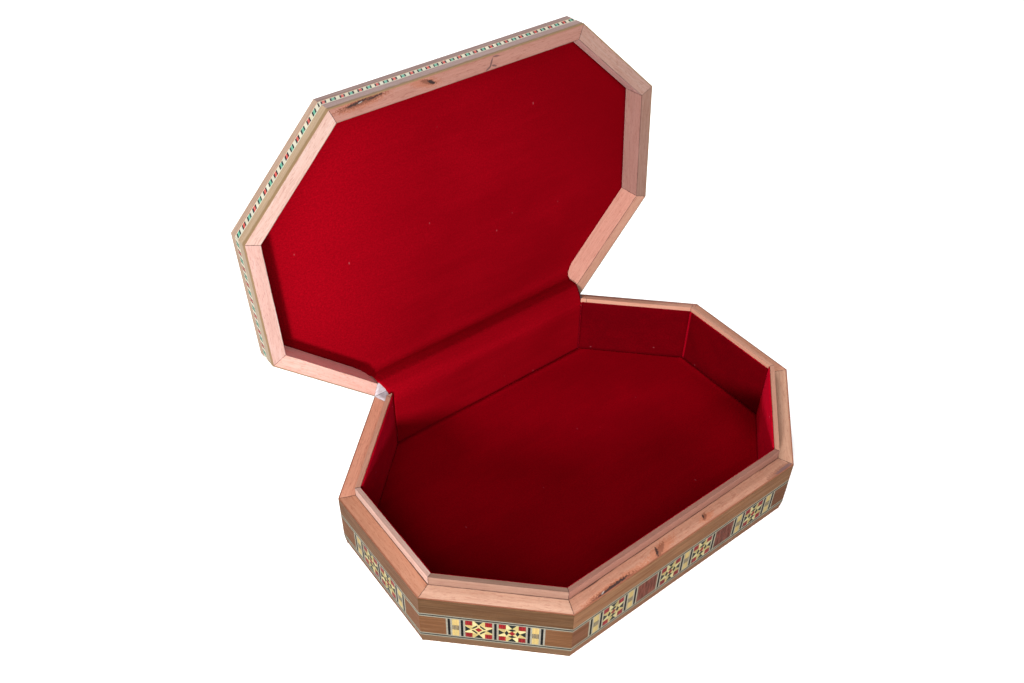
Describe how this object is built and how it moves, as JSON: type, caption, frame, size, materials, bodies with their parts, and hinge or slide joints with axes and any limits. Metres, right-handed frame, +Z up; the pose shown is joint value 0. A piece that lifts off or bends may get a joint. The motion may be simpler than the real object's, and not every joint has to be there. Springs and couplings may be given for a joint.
{
  "type": "jewellery box",
  "caption": "Octagonal wooden box with a hinged lid, crimson velvet lining, a standing lip and marquetry bands on its walls and lid.",
  "frame": {"origin": "centre of the box's underside, on the table", "axes": "+X along the hinge line, +Y from the front to the hinge side, +Z up; the lid is stored open, as it stands in use"},
  "size_m": [0.254, 0.2028, 0.2116],
  "materials": {
    "carcass_wood": "bare planed beech",
    "lip_wood": "bare pale beech",
    "walnut": "satin lacquered walnut veneer",
    "line_white": "satin ivory-coloured line",
    "line_black": "satin black line",
    "star_mosaic": "lacquered mosaic of small triangles",
    "cream_mosaic": "lacquered cream-coloured tile",
    "mahogany": "lacquered red-brown wood",
    "strip_mosaic": "lacquered strip of fine coloured slats",
    "tape": "woven cotton tape",
    "velvet": "short-pile crimson velvet"
  },
  "bodies": {
    "base": {"wall_front": "carcass_wood", "wall_front_right": "carcass_wood", "wall_right": "carcass_wood", "wall_back_right": "carcass_wood", "wall_back": "carcass_wood", "wall_back_left": "carcass_wood", "wall_left": "carcass_wood", "wall_front_left": "carcass_wood", "base_board": "carcass_wood", "lip_front": "lip_wood", "lip_front_right": "lip_wood", "lip_right": "lip_wood", "lip_back_right": "lip_wood", "lip_back_left": "lip_wood", "lip_left": "lip_wood", "lip_front_left": "lip_wood", "upper_band": "walnut", "lower_band": "walnut", "corner_fillers": "walnut", "stringing_white": "line_white", "stringing_black": "line_black", "star_tiles": "star_mosaic", "cream_tiles": "cream_mosaic", "mahogany_tiles": "mahogany", "bars_white": "line_white", "bars_black": "line_black", "velvet_floor": "velvet", "velvet_walls": "velvet", "velvet_back_wall": "velvet", "hinge_tape_base": "tape", "velvet_hinge": "velvet"},
    "lid": {"rail_front": "carcass_wood", "rail_front_right": "carcass_wood", "rail_right": "carcass_wood", "rail_back_right": "carcass_wood", "rail_back": "carcass_wood", "rail_back_left": "carcass_wood", "rail_left": "carcass_wood", "rail_front_left": "carcass_wood", "lid_board": "carcass_wood", "lid_lower_band": "walnut", "lid_mosaic": "strip_mosaic", "lid_upper_band": "walnut", "top_edge": "walnut", "top_mosaic": "strip_mosaic", "top_stringing_white": "line_white", "top_stringing_black": "line_black", "top_field": "walnut", "top_star_tiles": "star_mosaic", "top_mahogany_tiles": "mahogany", "hinge_tape_lid": "tape", "velvet_lid": "velvet", "velvet_lid_rail": "velvet"}
  },
  "joints": [
    {"name": "lid_hinge", "type": "hinge", "parent": "base", "child": "lid", "pos_m": [0, 0.0865, 0.03905], "axis": [1, 0, 0], "range_deg": [0, 94.3], "deforming": ["velvet_hinge"]}
  ]
}
